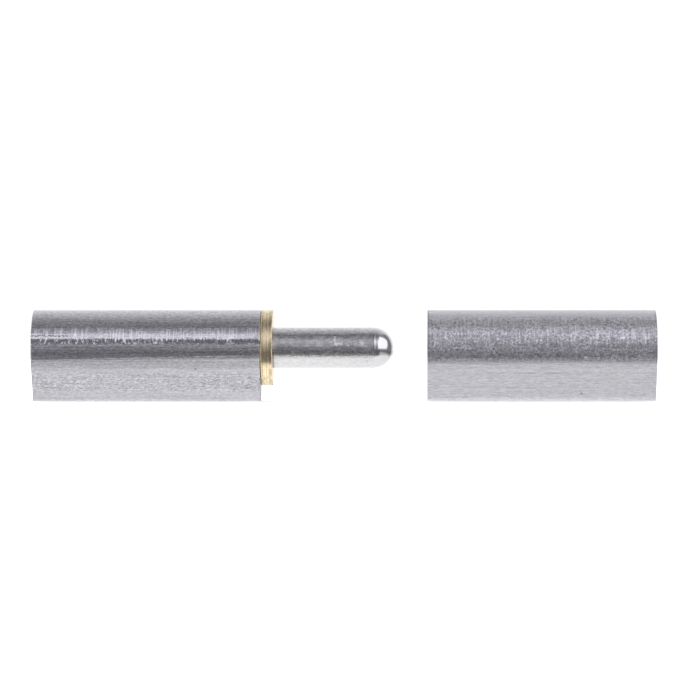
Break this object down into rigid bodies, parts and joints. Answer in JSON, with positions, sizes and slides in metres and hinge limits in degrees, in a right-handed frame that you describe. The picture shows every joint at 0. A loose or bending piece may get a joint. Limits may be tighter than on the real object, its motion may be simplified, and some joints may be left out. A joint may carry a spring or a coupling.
{
  "type": "weld-on lift-off hinge",
  "caption": "Weld-on lift-off hinge with drawn teardrop knuckles, a pressed steel pin and a brass thrust ring, shown with its halves drawn apart.",
  "frame": {"origin": "centre of the fixed half's weld face, which is the narrow flat along its tail", "axes": "+X along the pin axis, from the fixed half towards the lifting half; +Z from the weld faces up through the pin axis"},
  "size_m": [0.1072, 0.013, 0.0157],
  "materials": {
    "drawn_steel": "bright drawn bar with fine scratches",
    "pin_steel": "ground, lightly worn",
    "ring_brass": "turned"
  },
  "bodies": {
    "fixed_half": {"fixed_knuckle": "drawn_steel", "hinge_pin": "pin_steel"},
    "ring": {"brass_ring": "ring_brass"},
    "lifting_half": {"lifting_knuckle": "drawn_steel"}
  },
  "joints": [
    {"name": "leaf_swing", "type": "hinge", "parent": "fixed_half", "child": "ring", "pos_m": [0.0217, 0, 0.0092], "axis": [1, 0, 0], "continuous": true},
    {"name": "lift_off", "type": "slide", "parent": "ring", "child": "lifting_half", "axis": [1, 0, 0], "range_m": [-0.0266, 0]}
  ]
}
